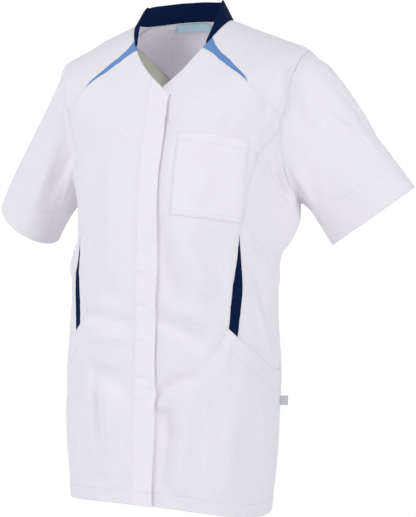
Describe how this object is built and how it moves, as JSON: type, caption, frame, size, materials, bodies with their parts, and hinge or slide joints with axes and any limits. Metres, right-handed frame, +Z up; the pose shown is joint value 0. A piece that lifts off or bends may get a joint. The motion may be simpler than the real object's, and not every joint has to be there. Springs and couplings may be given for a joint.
{
  "type": "nurse uniform tunic",
  "caption": "Hip-length white nurse's tunic with short sleeves, navy stand collar, blue inserts, covered front closing and pockets, open in worn form.",
  "frame": {"origin": "middle of the base of the neck, level with the shoulders that carry the tunic", "axes": "+Z up along the wearer, -Y towards the front of the wearer, +X towards the wearer's left arm"},
  "size_m": [0.7056, 0.257, 0.8113],
  "materials": {
    "white_twill": "matte",
    "navy_twill": "matte",
    "light_blue_twill": "matte",
    "pale_blue_label": "satin",
    "grey_tag": "matte"
  },
  "bodies": {
    "root": {"back": "white_twill", "chest_pocket": "white_twill", "collar": "navy_twill", "front_left": "white_twill", "front_right": "white_twill", "neck_insert_left": "light_blue_twill", "neck_insert_right": "light_blue_twill", "neck_label": "pale_blue_label", "placket": "white_twill", "side_front_left": "white_twill", "side_front_right": "white_twill", "side_tag": "grey_tag", "sleeve_left": "white_twill", "sleeve_right": "white_twill", "waist_insert_left": "navy_twill", "waist_insert_right": "navy_twill", "yoke_left": "white_twill", "yoke_right": "white_twill"}
  },
  "joints": []
}
